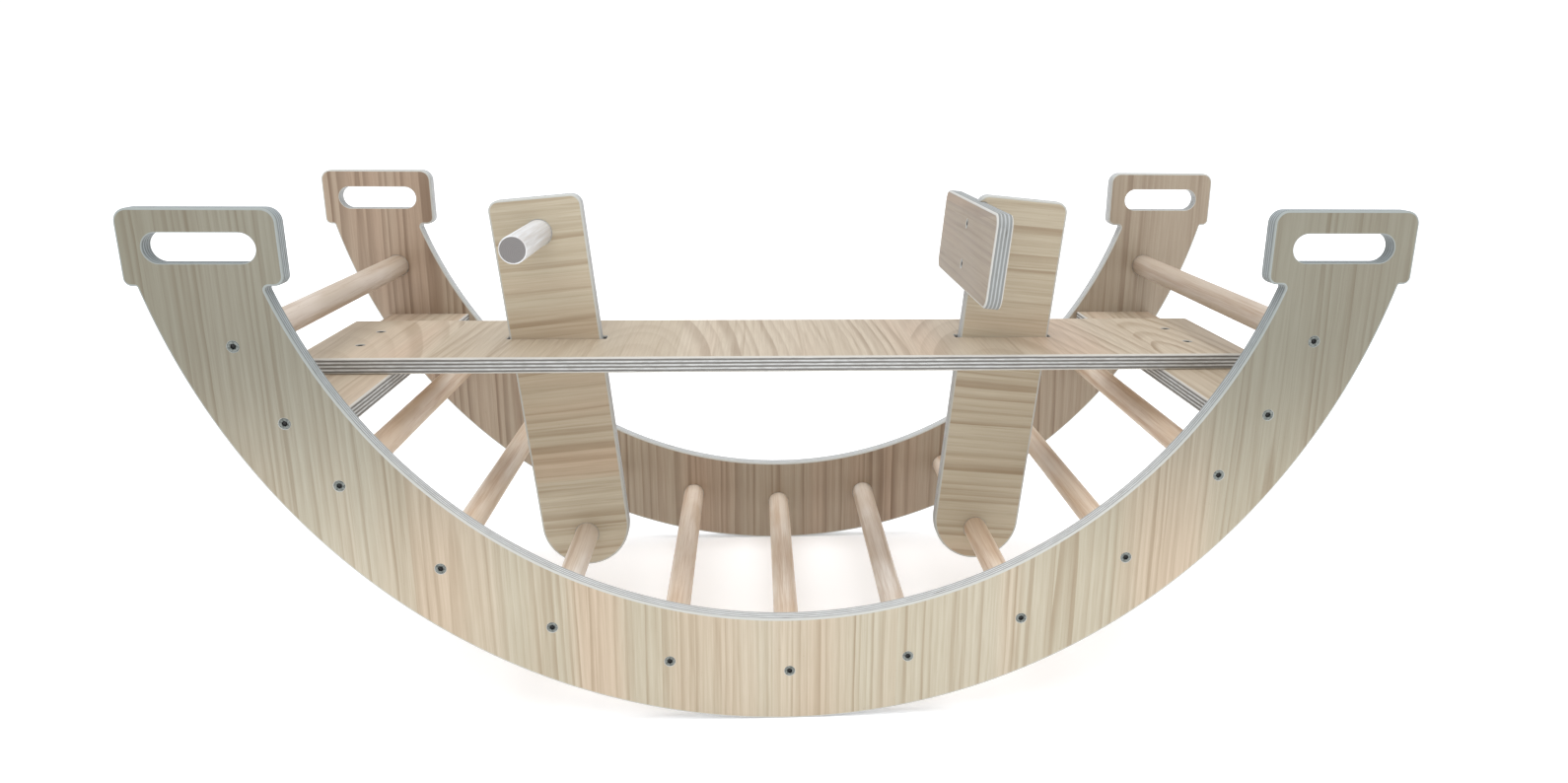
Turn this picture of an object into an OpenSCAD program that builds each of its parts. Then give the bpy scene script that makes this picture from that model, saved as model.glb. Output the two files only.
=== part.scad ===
// Wooden rocker seesaw: two curved plywood side panels joined by dowel rungs
// and ledges, with a plywood seat board, a handle post and a backrest post.
// X runs along the length, Y across the width, Z up. The origin is on the
// floor, under the middle of the rocker. Left is -X and front is -Y.

/* [Overall size] */
// Length over the two handle heads
length = 1155.7; // [1100:0.1:1200]
// Width over the outer faces of the side panels
width = 508; // [440:1:560]
// Height of the handle heads above the floor
height = 508; // [500:1:520]
// Thickness of every plywood board
ply_t = 17; // [15:0.5:19]

/* [Side panels] */
// Radius of the rocking edge
rocker_r = 585.3; // [583:0.1:600]
// Radius of the panel's inner edge
inner_r = 486.5; // [480:0.5:490]
// Height of the inner edge's centre above the floor
inner_centre_z = 597.1; // [594:0.1:600]
// Length of a handle head
head_w = 136; // [128:1:142]
// Height of a handle head
head_h = 67.5; // [60:0.5:72]
// Radius of a head's upper corners
head_top_r = 12.5; // [8:0.5:16]
// Radius of a head's lower corners
head_low_r = 9; // [5:0.5:12]
// Length of the hand slot
hand_slot_l = 97; // [85:1:104]
// Height of the hand slot
hand_slot_h = 28; // [22:1:32]
// Depth of the hand slot's centre below the top of the head
hand_slot_drop = 34.3; // [30:0.1:38]

/* [Rungs and ledges] */
// Distance of the rung centres in from the rocking edge
rung_inset = 53.5; // [50:0.5:58]
// Angle between neighbouring lower rungs
rung_step = 12.9; // [12:0.1:13.2]
// Number of lower rungs on each side of the middle one
rungs_per_side = 4; // [4]
// Angle of the highest rung on each side
top_rung_angle = 68.1; // [67:0.1:70]
// Diameter of a rung
rung_d = 27; // [24:0.5:30]
// Depth of a rung's socket in a side panel
socket_depth = 6; // [3:0.5:8]
// Angle of the ledge under each end of the seat
ledge_angle = 59.5; // [59:0.1:60]
// Width of a ledge
ledge_w = 100; // [90:1:104]

/* [Seat board] */
// Length of the seat board
seat_l = 1016; // [980:1:1020]
// Width of the seat board
seat_w = 204; // [180:1:240]
// Radius of the seat board's corners
seat_corner_r = 5; // [2:0.5:12]
// Play at each end of the slots that the posts pass through
post_slot_play = 3.5; // [2:0.5:6]

/* [Posts] */
// Number of the lower rung that carries a post, counted from the middle
post_rung = 2; // [2]
// Outward lean of the posts
post_tilt = 5.4; // [4:0.1:7]
// Width of a post
post_w = 101; // [90:1:106]
// Length of a post above its rung
post_rise = 391.5; // [370:0.5:398]
// Height of the centre of a post's round foot above its rung
post_foot_rise = 11.5; // [0:0.5:20]
// Radius of a post's upper corners
post_corner_r = 12; // [8:0.5:20]
// Diameter of the handle bar
bar_d = 28; // [25:0.5:32]
// Length of the handle bar
bar_l = 300; // [240:1:340]
// Depth of the handle bar's centre below the top of its post
bar_drop = 38; // [30:0.5:50]

/* [Backrest] */
// Width of the backrest plate
plate_w = 306; // [240:1:320]
// Height of the backrest plate
plate_h = 96; // [80:1:100]
// Depth of the backrest plate's top below the top of its post
plate_drop = 8; // [6:0.5:20]
// Depth of the housing in the post that takes the plate
plate_housing = 8.5; // [4:0.5:10]
// Radius of the backrest plate's corners
plate_corner_r = 14; // [8:0.5:20]
// Distance between the backrest plate's two screws
plate_screw_gap = 45; // [35:1:55]

/* [Fasteners] */
// Length of the connecting screws in the side panels
panel_screw_l = 50; // [45:1:60]
// Length of the seat board's screws
seat_screw_l = 30; // [25:1:32]
// Length of the backrest plate's screws
plate_screw_l = 42; // [38:1:50]
// Distance between the two screws at each end of the seat board
seat_screw_gap = 72; // [60:1:90]

/* [Hidden] */
$fn = 96;
LOWER_RUNGS = 2 * rungs_per_side + 1;
RUNG_NAMES = ["rung_1", "rung_2", "rung_3", "rung_4", "rung_5", "rung_6",
              "rung_7", "rung_8", "rung_9", "rung_10", "rung_11"];

PINE = "#d9c9a6";
PLY_PALE = "#e2d6bb";
BEECH = "#d3b08e";
ZINC = "#b9bec2";

eps = 0.5;                 // overshoot of a cutter past the face it cuts
fit_gap = 0.1;             // radial play of a dowel or screw in its hole
slot_side_play = 0.5;      // play across a post in the seat board's slot
inner_face = width / 2 - ply_t;
rung_circle_r = rocker_r - rung_inset;
lower_angles = [for (k = [-rungs_per_side : rungs_per_side]) k * rung_step];
rung_angles = concat([-top_rung_angle], lower_angles, [top_rung_angle]);
head_x = length / 2 - head_w / 2;
head_z = height - head_h / 2;
slot_z = height - hand_slot_drop;

// Connecting screw: a flat head, a plain neck as long as the wood it
// clamps, and a core that bites into the part behind.
head_d = 10;
neck_d = 7;
core_d = 5;
tip_l = 4;
head_cone = 2.5;           // depth over which the head narrows to the neck
head_rim = 0.6;            // straight rim at the top of the head
head_sink = 0.4;           // depth of the head's top below the face
recess_d = 4.6;            // across the corners of the hexagonal recess
recess_depth = 2.4;

function on_circle(angle) = [rung_circle_r * sin(angle), rocker_r - rung_circle_r * cos(angle)];

ledge_at = on_circle(ledge_angle);
seat_bottom = ledge_at[1] + ply_t / 2;
seat_mid = seat_bottom + ply_t / 2;
seat_top = seat_bottom + ply_t;
post_foot = on_circle(post_rung * rung_step);
post_x_at_seat = post_foot[0] + (seat_mid - post_foot[1]) * tan(post_tilt);
post_slot_l = post_w / cos(post_tilt) + ply_t * tan(post_tilt) + 2 * post_slot_play;
post_slot_w = ply_t + 2 * slot_side_play;
bar_h = post_rise - bar_drop;
plate_mid_h = post_rise - plate_drop - plate_h / 2;
plate_back = post_w / 2 - plate_housing;
plate_face = plate_back + ply_t;

// ---- outlines ----

// Rectangle centred on the origin with its own radius on the upper and the lower corners
module round_plate(w, h, top_r, low_r) {
    difference() {
        square([w, h], center = true);
        for (s = [-1, 1]) {
            corner_cut(s * w / 2, h / 2, s, 1, top_r);
            corner_cut(s * w / 2, -h / 2, s, -1, low_r);
        }
    }
}

// What a rounded corner at (x, y) takes away; sx and sy point out of the corner
module corner_cut(x, y, sx, sy, r) {
    translate([x, y]) scale([sx, sy]) difference() {
        translate([-r, -r]) square(r + eps);
        translate([-r, -r]) circle(r);
    }
}

module stadium(l, h) {
    union() {
        square([l - h, h], center = true);
        for (s = [-1, 1]) translate([s * (l - h) / 2, 0]) circle(h / 2);
    }
}

// Curved band, two heads and two hand slots, seen from the front
module panel_outline() {
    difference() {
        union() {
            intersection() {
                difference() {
                    translate([0, rocker_r]) circle(rocker_r);
                    translate([0, inner_centre_z]) circle(inner_r);
                }
                translate([-length / 2, -eps]) square([length, head_z + eps]);
            }
            for (s = [-1, 1]) translate([s * head_x, head_z])
                round_plate(head_w, head_h, head_top_r, head_low_r);
        }
        for (s = [-1, 1]) translate([s * head_x, slot_z]) stadium(hand_slot_l, hand_slot_h);
    }
}

// A post from its rung upwards, with a half-round foot
module post_outline() {
    difference() {
        union() {
            translate([0, post_foot_rise]) circle(post_w / 2);
            translate([-post_w / 2, post_foot_rise]) square([post_w, post_rise - post_foot_rise]);
        }
        for (s = [-1, 1]) corner_cut(s * post_w / 2, post_rise, s, 1, post_corner_r);
    }
}

// ---- placing ----

// Stands an outline up in the XZ plane, between y_low and y_low + t
module stand(y_low, t) {
    translate([0, y_low + t, 0]) rotate([90, 0, 0]) linear_extrude(t) children();
}

// Axis across the rocker, at an angle round the rung circle
module at_rung(angle) {
    p = on_circle(angle);
    translate([p[0], 0, p[1]]) children();
}

// Frame of a post: origin on its rung, Z up the post; side is -1 left, 1 right
module at_post(side) {
    translate([side * post_foot[0], 0, post_foot[1]]) rotate([0, side * post_tilt, 0]) children();
}

// Turns Z to point out of the face of a side panel; side is -1 front, 1 rear
module at_panel_face(side) {
    translate([0, side * width / 2, 0]) rotate([-side * 90, 0, 0]) children();
}

module cross_rod(d, l) {
    translate([0, l / 2, 0]) rotate([90, 0, 0]) cylinder(d = d, h = l);
}

// ---- fasteners ----

// Screw with its head's top just under z = 0 and its tip down
module screw(l, neck_l) {
    difference() {
        rotate_extrude() polygon([
            [0, -head_sink],
            [head_d / 2, -head_sink],
            [head_d / 2, -head_sink - head_rim],
            [neck_d / 2, -head_sink - head_rim - head_cone],
            [neck_d / 2, -neck_l],
            [core_d / 2, -neck_l],
            [core_d / 2, -l + tip_l],
            [0, -l]]);
        translate([0, 0, -head_sink - recess_depth]) cylinder(d = recess_d, h = recess_depth + eps, $fn = 6);
    }
}

// Countersunk hole through the clamped wood, with z = 0 on the face
module clearance_hole(depth) {
    rotate_extrude() polygon([
        [0, eps],
        [head_d / 2 + fit_gap, eps],
        [head_d / 2 + fit_gap, -head_sink - head_rim - fit_gap],
        [neck_d / 2 + fit_gap, -head_sink - head_rim - head_cone - fit_gap],
        [neck_d / 2 + fit_gap, -depth - eps],
        [0, -depth - eps]]);
}

// Pilot hole for the core of a screw, from z = 0 down
module pilot_hole(depth) {
    translate([0, 0, -depth - fit_gap]) cylinder(d = core_d + fit_gap, h = depth + fit_gap + eps);
}

module plate_screw_places() {
    for (s = [-1, 1]) translate([0, 0, plate_mid_h + s * plate_screw_gap / 2]) children();
}

// ---- sub-parts ----

// side is -1 for the front panel and 1 for the rear one
module side_panel(side) {
    y_low = side < 0 ? -width / 2 : inner_face;
    color(PINE) difference() {
        stand(y_low, ply_t) panel_outline();
        for (a = rung_angles) {
            at_rung(a) translate([0, side * (inner_face + socket_depth / 2 - eps / 2), 0])
                cross_rod(rung_d + 2 * fit_gap, socket_depth + eps);
            at_rung(a) at_panel_face(side) clearance_hole(ply_t - socket_depth);
        }
        for (a = [-ledge_angle, ledge_angle])
            at_rung(a) at_panel_face(side) clearance_hole(ply_t);
    }
}

module rung(angle) {
    rung_l = 2 * (inner_face + socket_depth);
    color(BEECH) at_rung(angle) difference() {
        cross_rod(rung_d, rung_l);
        for (s = [-1, 1]) at_panel_face(s) pilot_hole(panel_screw_l);
    }
}

// side is -1 for the left ledge and 1 for the right one
module ledge(side) {
    color(PLY_PALE) difference() {
        translate([side * ledge_at[0], 0, ledge_at[1]])
            cube([ledge_w, 2 * inner_face, ply_t], center = true);
        at_rung(side * ledge_angle) for (s = [-1, 1]) at_panel_face(s) pilot_hole(panel_screw_l);
        seat_screw_places(side) pilot_hole(seat_screw_l);
    }
}

module seat_screw_places(side) {
    for (s = [-1, 1]) translate([side * ledge_at[0], s * seat_screw_gap / 2, seat_top]) children();
}

module seat_board() {
    color(PLY_PALE) difference() {
        translate([0, 0, seat_bottom]) linear_extrude(ply_t)
            round_plate(seat_l, seat_w, seat_corner_r, seat_corner_r);
        for (side = [-1, 1]) {
            translate([side * post_x_at_seat, 0, seat_mid])
                cube([post_slot_l, post_slot_w, ply_t + 2 * eps], center = true);
            seat_screw_places(side) clearance_hole(ply_t);
        }
    }
}

// Bare post with the bore for its rung
module post_blank() {
    difference() {
        stand(-ply_t / 2, ply_t) post_outline();
        cross_rod(rung_d + 2 * fit_gap, ply_t + 2 * eps);
    }
}

module handle_post() {
    color(PINE) at_post(-1) difference() {
        post_blank();
        translate([0, 0, bar_h]) cross_rod(bar_d + 2 * fit_gap, ply_t + 2 * eps);
    }
}

module handle_bar() {
    color(PLY_PALE) at_post(-1) translate([0, 0, bar_h]) cross_rod(bar_d, bar_l);
}

module backrest_post() {
    color(PINE) at_post(1) difference() {
        post_blank();
        translate([-post_w / 2 - eps, -ply_t / 2 - eps, plate_mid_h - plate_h / 2 - fit_gap])
            cube([plate_housing + eps, ply_t + 2 * eps, plate_h + 2 * fit_gap]);
        plate_screw_places() translate([-plate_face, 0, 0]) rotate([0, -90, 0])
            pilot_hole(plate_screw_l);
    }
}

module backrest_plate() {
    color(PINE) at_post(1) difference() {
        translate([-plate_back, 0, plate_mid_h]) rotate([0, -90, 0]) rotate([0, 0, 90])
            linear_extrude(ply_t) round_plate(plate_w, plate_h, plate_corner_r, plate_corner_r);
        plate_screw_places() translate([-plate_face, 0, 0]) rotate([0, -90, 0])
            clearance_hole(ply_t);
    }
}

module rung_screws(side) {
    color(ZINC) for (a = rung_angles)
        at_rung(a) at_panel_face(side) screw(panel_screw_l, ply_t - socket_depth);
}

module ledge_screws(side) {
    color(ZINC) for (a = [-ledge_angle, ledge_angle])
        at_rung(a) at_panel_face(side) screw(panel_screw_l, ply_t);
}

module seat_screws(side) {
    color(ZINC) seat_screw_places(side) screw(seat_screw_l, ply_t);
}

module backrest_screws() {
    color(ZINC) at_post(1) plate_screw_places() translate([-plate_face, 0, 0]) rotate([0, -90, 0])
        screw(plate_screw_l, ply_t);
}

side_panel(-1);  // side_panel_front
side_panel(1);  // side_panel_rear
for (i = [0 : len(RUNG_NAMES) - 1])
    rung(rung_angles[i]);
ledge(-1);  // ledge_left
ledge(1);  // ledge_right
seat_board();
handle_post();
handle_bar();
backrest_post();
backrest_plate();
rung_screws(-1);  // rung_screws_front
rung_screws(1);  // rung_screws_rear
ledge_screws(-1);  // ledge_screws_front
ledge_screws(1);  // ledge_screws_rear
seat_screws(-1);  // seat_screws_left
seat_screws(1);  // seat_screws_right
backrest_screws();
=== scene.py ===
"""Looks of a wooden rocker seesaw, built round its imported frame.

Every board, dowel and screw is made again here with rounded edges, drilled
holes and its own timber figure, in its node's place. Sizes are in metres, X
runs along the rocker, Y across it and Z up.
"""

from __future__ import annotations

import logging
import math
from dataclasses import dataclass, field
from enum import Enum

import bpy
import numpy as np
from bpy.types import Material, Mesh, Node, NodeSocket, NodesModifier, NodeTree, Object
from mathutils import Matrix, Vector
from mathutils.geometry import delaunay_2d_cdt


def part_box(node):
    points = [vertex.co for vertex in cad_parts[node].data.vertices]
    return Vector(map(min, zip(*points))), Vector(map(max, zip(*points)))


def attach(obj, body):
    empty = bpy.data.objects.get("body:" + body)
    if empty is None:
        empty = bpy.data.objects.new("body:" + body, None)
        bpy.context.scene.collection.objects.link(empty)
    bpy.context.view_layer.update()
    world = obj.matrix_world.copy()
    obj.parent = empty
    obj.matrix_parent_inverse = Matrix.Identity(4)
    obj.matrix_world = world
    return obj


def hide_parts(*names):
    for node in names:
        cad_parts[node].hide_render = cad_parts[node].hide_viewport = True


LOG = logging.getLogger("rocker")
MM = 0.001
FULL_TURN = 2.0 * math.pi

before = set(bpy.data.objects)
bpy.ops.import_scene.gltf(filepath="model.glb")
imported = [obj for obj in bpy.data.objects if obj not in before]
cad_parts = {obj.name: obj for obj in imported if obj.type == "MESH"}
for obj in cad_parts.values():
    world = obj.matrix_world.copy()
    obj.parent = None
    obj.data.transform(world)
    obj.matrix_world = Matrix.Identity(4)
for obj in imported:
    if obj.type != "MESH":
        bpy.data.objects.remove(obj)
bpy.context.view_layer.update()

Colour = tuple[float, float, float]
Point = tuple[float, float]


def srgb(*channels: int) -> Colour:
    """Turns a display colour's three channels, each from 0 to 255, into a linear colour."""
    shares = [channel / 255.0 for channel in channels]
    red, green, blue = (share / 12.92 if share <= 0.04045 else ((share + 0.055) / 1.055) ** 2.4 for share in shares)
    return red, green, blue


class Side(Enum):
    """Which half of the rocker a piece is on, as the sign of its coordinate."""

    LOW = -1
    HIGH = 1


# ---------------------------------------------------------------- node trees


class Signal:
    """A value that flows through one node tree, open to plain arithmetic."""

    def __init__(self, wires: Wires, socket: NodeSocket) -> None:
        """Keeps the output socket and the wires of its tree."""
        self.wires = wires
        self.socket = socket

    def __add__(self, other: object) -> Signal:
        """Adds a number or a signal."""
        return self.wires.math("ADD", self, other)

    def __sub__(self, other: object) -> Signal:
        """Takes away a number or a signal."""
        return self.wires.math("SUBTRACT", self, other)

    def __rsub__(self, other: float) -> Signal:
        """Takes this signal away from a number."""
        return self.wires.math("SUBTRACT", other, self)

    def __mul__(self, other: object) -> Signal:
        """Multiplies by a number or a signal."""
        return self.wires.math("MULTIPLY", self, other)

    def __truediv__(self, other: object) -> Signal:
        """Divides by a number or a signal."""
        return self.wires.math("DIVIDE", self, other)


class Wires:
    """Places nodes in one tree and links them."""

    def __init__(self, tree: NodeTree) -> None:
        """Starts on a tree and empties it."""
        self.tree = tree
        tree.nodes.clear()

    def node(self, kind: str, inputs: dict[str | int, object] | None = None, **settings: object) -> Node:
        """Adds a node, sets its plain properties and then feeds its inputs.

        Args:
            kind: the node's type name.
            inputs: values or signals, by input name or number.
            **settings: property names and values.

        Returns:
            The new node.
        """
        made = self.tree.nodes.new(kind)
        for name, value in settings.items():
            setattr(made, name, value)
        for key, source in (inputs or {}).items():
            self.feed(made.inputs[key], source)
        return made

    def signal(self, kind: str, inputs: dict[str | int, object] | None = None, output: str | int = 0,
               **settings: object) -> Signal:
        """Adds a node as above and returns one of its outputs."""
        return Signal(self, self.node(kind, inputs, **settings).outputs[output])

    def feed(self, target: NodeSocket, source: object) -> None:
        """Links an input to a signal, or gives it a fixed value.

        Args:
            target: the input to fill.
            source: a signal or a value.
        """
        if isinstance(source, Signal):
            self.tree.links.new(source.socket, target)
        elif isinstance(source, tuple) and target.type == "RGBA":
            target.default_value = (*source, 1.0)
        else:
            target.default_value = source

    def fill(self, node: Node, **inputs: object) -> None:
        """Feeds a node's inputs by name, with underscores for spaces."""
        for name, source in inputs.items():
            self.feed(node.inputs[name.replace("_", " ")], source)

    def named(self, node: Node) -> dict[str, Signal]:
        """Returns a node's outputs by name."""
        return {socket.name: Signal(self, socket) for socket in node.outputs}

    def math(self, operation: str, *values: object, clamp: bool = False) -> Signal:
        """Adds a Math node and returns its result, held between 0 and 1 if clamp is set."""
        return self.signal("ShaderNodeMath", dict(enumerate(values)), operation=operation, use_clamp=clamp)

    def vector(self, operation: str, *values: object, output: str = "Vector") -> Signal:
        """Adds a Vector Math node and returns one of its outputs."""
        return self.signal("ShaderNodeVectorMath", dict(enumerate(values)), output, operation=operation)

    def pack(self, x: object, y: object, z: object = 0.0) -> Signal:
        """Joins three numbers into a vector."""
        return self.signal("ShaderNodeCombineXYZ", {0: x, 1: y, 2: z})

    def unpack(self, vector: Signal) -> list[Signal]:
        """Splits a vector into its three numbers."""
        return list(self.named(self.node("ShaderNodeSeparateXYZ", {0: vector})).values())

    def noise(self, vector: Signal, scale: float = 1.0, detail: float = 2.0, rough: float = 0.5,
              seed: object = 0.0) -> Signal:
        """Adds a four-dimensional noise whose fourth coordinate is a seed.

        Args:
            vector: where it is read.
            scale: its frequency.
            detail: its octaves.
            rough: how much each octave keeps.
            seed: the fourth coordinate.

        Returns:
            The value, from 0 to 1.
        """
        inputs = {"Vector": vector, "W": seed, "Scale": scale, "Detail": detail, "Roughness": rough}
        return self.signal("ShaderNodeTexNoise", inputs, "Fac", noise_dimensions="4D")

    def dice(self, seed: Signal, output: str) -> Signal:
        """Returns white noise that depends on a seed alone, as a Value or a Color."""
        return self.signal("ShaderNodeTexWhiteNoise", {"W": seed}, output, noise_dimensions="1D")

    def remap(self, value: object, low: float, high: float, to_low: float = 0.0, to_high: float = 1.0,
              smooth: bool = True) -> Signal:
        """Maps a range onto another and holds it there.

        Args:
            value: what is mapped.
            low: start of the range.
            high: end of the range.
            to_low: what the start becomes.
            to_high: what the end becomes.
            smooth: whether the ends are eased.

        Returns:
            The mapped value.
        """
        return self.signal("ShaderNodeMapRange", dict(enumerate((value, low, high, to_low, to_high))), clamp=True,
                           interpolation_type="SMOOTHSTEP" if smooth else "LINEAR")

    def mix(self, share: object, first: object, second: object, blend: str = "MIX") -> Signal:
        """Mixes two colours.

        Args:
            share: how much of the second is taken.
            first: the first colour.
            second: the second colour.
            blend: the blend mode.

        Returns:
            The mixed colour.
        """
        factor, a_colour, b_colour, result = 0, 6, 7, 2
        return self.signal("ShaderNodeMix", {factor: share, a_colour: first, b_colour: second}, result,
                           data_type="RGBA", blend_type=blend, clamp_factor=True)

    def coats(self, colour: Signal, *coats: tuple[object, Colour]) -> Signal:
        """Lays colours over a first one in turn, each by its share."""
        for share, tint in coats:
            colour = self.mix(share, colour, tint)
        return colour

    def group(self, tree: NodeTree, **inputs: object) -> dict[str, Signal]:
        """Adds a node group, feeds it by name and returns its outputs by name."""
        made = self.node("ShaderNodeGroup", node_tree=tree)
        self.fill(made, **inputs)
        return self.named(made)


def new_group(name: str, inputs: dict[str, tuple[str, object]], outputs: dict[str, str],
              kind: str = "ShaderNodeTree") -> tuple[Wires, dict[str, Signal], Node]:
    """Starts a node group with named sockets.

    Args:
        name: the group's name.
        inputs: socket names to their type's short name and default.
        outputs: socket names to their type's short name.
        kind: the tree's type.

    Returns:
        Its wires, its inputs as signals by name, and its output node.
    """
    tree = bpy.data.node_groups.new(name, kind)
    wires = Wires(tree)
    for label, (short, default) in inputs.items():
        socket = tree.interface.new_socket(label, in_out="INPUT", socket_type=f"NodeSocket{short}")
        if default is not None:
            socket.default_value = default
    for label, short in outputs.items():
        tree.interface.new_socket(label, in_out="OUTPUT", socket_type=f"NodeSocket{short}")
    return wires, wires.named(wires.node("NodeGroupInput")), wires.node("NodeGroupOutput")


def pine_figure() -> NodeTree:
    """Builds the figure of sliced pine: leaves of veneer side by side, each with its own rings.

    Returns:
        A group that reads a place on the board as (along the grain, across it) in
        metres and puts out the ring, tone, blush, fibre and streak masks.
    """
    wires, given, out = new_group(
        "pine figure",
        {"Place": ("Vector", None), "Seed": ("Float", 0.0), "Leaf Width": ("Float", 0.15),
         "Ring Gap": ("Float", 0.008), "Arch": ("Float", 0.2), "Drift": ("Float", 0.012)},
        dict.fromkeys(("Late", "Tone", "Blush", "Fibre", "Streak"), "Float"))
    along, across, _ = wires.unpack(given["Place"])
    seed, width = given["Seed"], given["Leaf Width"]
    shift = seed * 0.37
    leaf = wires.math("FLOOR", across / width + shift)
    leaf_seed = leaf * 3.71 + seed
    pick_pith, pick_depth, pick_along = wires.unpack(wires.dice(leaf_seed, "Color"))

    def stretched(lengthways: float, sideways: float, own_seed: Signal, detail: float = 2.0) -> Signal:
        """Returns a noise with one frequency along the grain and another across it."""
        return wires.noise(wires.pack(along * lengthways, across * sideways), detail=detail, seed=own_seed)

    slow = stretched(2.6, 6.0, leaf_seed, 1.5)
    quick = stretched(14.0, 45.0, leaf_seed)
    drift = (slow - 0.5) * given["Drift"] + (quick - 0.5) * 0.0022
    pith = (leaf - shift) * width + (pick_pith * 2.4 - 0.7) * width
    off_pith = across + drift - pith
    deep = pick_depth * 0.02 + (along + (pick_along - 0.5) * 0.5) * given["Arch"]
    radius = wires.math("SQRT", off_pith * off_pith + deep * deep)

    uneven = wires.noise(wires.pack(radius * 34.0, 0.0), seed=leaf_seed)
    rings = radius / given["Ring Gap"] + uneven * 3.2
    turn = wires.math("FRACT", rings)
    year = wires.dice(wires.math("FLOOR", rings) + leaf_seed, "Value")
    patchy = stretched(5.0, 60.0, seed)
    strength = wires.remap(year, 0.0, 1.0, 0.2, 1.0) * wires.remap(patchy, 0.3, 0.7, 0.55, 1.0)
    late = wires.remap(turn, 0.3, 0.9) * wires.remap(turn, 0.93, 1.0, 1.0, 0.0) * strength

    tone = wires.math("ADD", pick_depth * 0.34, stretched(1.3, 16.0, leaf_seed, 3.0) * 0.85, clamp=True)
    blush = wires.remap(stretched(0.7, 11.0, seed + 40.0) + pick_along * 0.12, 0.53, 0.75)
    fibre = stretched(9.0, 420.0, seed) * 0.6 + stretched(34.0, 1700.0, seed, 1.0) * 0.4
    leaning = wires.pack(along * 2.4, (across + drift * 0.6) * 190.0)
    streak = wires.remap(wires.noise(leaning, detail=3.0, rough=0.6, seed=leaf_seed), 0.5, 0.7)
    wires.fill(out, Late=late, Tone=tone, Blush=blush, Fibre=fibre, Streak=streak)
    return wires.tree


def ply_layers() -> NodeTree:
    """Builds the layers that show on a sawn plywood edge.

    Returns:
        A group that reads the run along an edge and the depth below the face, in
        metres, and puts out masks for cross plies, glue lines, gaps and streaks.
    """
    wires, given, out = new_group(
        "ply layers",
        {"Place": ("Vector", None), "Thickness": ("Float", 0.017), "Plies": ("Float", 9.0),
         "Seed": ("Float", 0.0)},
        dict.fromkeys(("Cross", "Glue", "Gap", "Streak"), "Float"))
    run, depth, _ = wires.unpack(given["Place"])
    seed = given["Seed"]
    bend = wires.noise(wires.pack(run * 14.0, depth * 60.0), seed=seed)
    layer = depth / given["Thickness"] * given["Plies"] + (bend - 0.5) * 0.34
    number = wires.math("FLOOR", layer)
    within = wires.math("FRACT", layer)
    crosswise = wires.math("MODULO", wires.math("ABSOLUTE", number), 2.0)
    rim = wires.math("MINIMUM", within, 1.0 - within)
    broken = wires.noise(wires.pack(run * 55.0, number * 7.3), seed=seed)
    glue = wires.remap(rim, 0.05, 0.2, 1.0, 0.0) * wires.remap(broken, 0.3, 0.62, 0.25, 1.0)
    void = wires.noise(wires.pack(run * 24.0, number * 3.1), detail=1.0, seed=seed + 9.0)
    gap = wires.remap(void, 0.66, 0.72) * crosswise * wires.remap(rim, 0.18, 0.34)
    streak = wires.noise(wires.pack(run * 110.0, depth * 900.0), seed=seed)
    cross = crosswise * wires.remap(rim, 0.0, 0.28, 0.35, 1.0)
    wires.fill(out, Cross=cross, Glue=glue, Gap=gap, Streak=streak)
    return wires.tree


def turned_grain() -> NodeTree:
    """Builds the grain of a dowel that lies along Y.

    Returns:
        A group that reads a place in the row frame and puts out streak, patch and
        fleck masks.
    """
    wires, given, out = new_group("turned grain", {"Place": ("Vector", None), "Seed": ("Float", 0.0)},
                                  dict.fromkeys(("Streak", "Patch", "Fleck"), "Float"))
    x, y, z = wires.unpack(given["Place"])

    def stretched(around: float, along: float, detail: float, extra: float) -> Signal:
        """Returns a noise drawn out along the dowel."""
        return wires.noise(wires.pack(x * around, y * along, z * around), detail=detail, seed=given["Seed"] + extra)

    streak = stretched(130.0, 3.0, 3.0, 0.0) * 0.65 + stretched(900.0, 22.0, 2.0, 3.0) * 0.35
    fleck = wires.remap(stretched(1100.0, 90.0, 1.0, 23.0), 0.66, 0.76)
    wires.fill(out, Streak=streak, Patch=stretched(28.0, 7.0, 2.0, 11.0), Fleck=fleck)
    return wires.tree


def handling() -> NodeTree:
    """Builds the faint clouding that handling and sealing leave on bare timber.

    Returns:
        A group that reads a place in the row frame and puts out a cloud and a speck mask.
    """
    wires, given, out = new_group("handling", {"Place": ("Vector", None)}, {"Cloud": "Float", "Speck": "Float"})
    cloud = wires.noise(given["Place"], scale=7.0, detail=4.0, rough=0.6, seed=2.0)
    speck = wires.noise(given["Place"], scale=420.0, detail=1.0, seed=5.0)
    wires.fill(out, Cloud=wires.remap(cloud, 0.35, 0.7), Speck=wires.remap(speck, 0.74, 0.8))
    return wires.tree


# ------------------------------------------------------------------ finishes

BOARD_MAP = "board"
# Point attribute that carries the painted shade of the screws' drive recesses.
RECESS_SHADE = "pit"


@dataclass(frozen=True)
class TimberGroups:
    """The node groups that the finishes share."""

    figure: NodeTree
    layers: NodeTree
    grain: NodeTree
    handling: NodeTree


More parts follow.
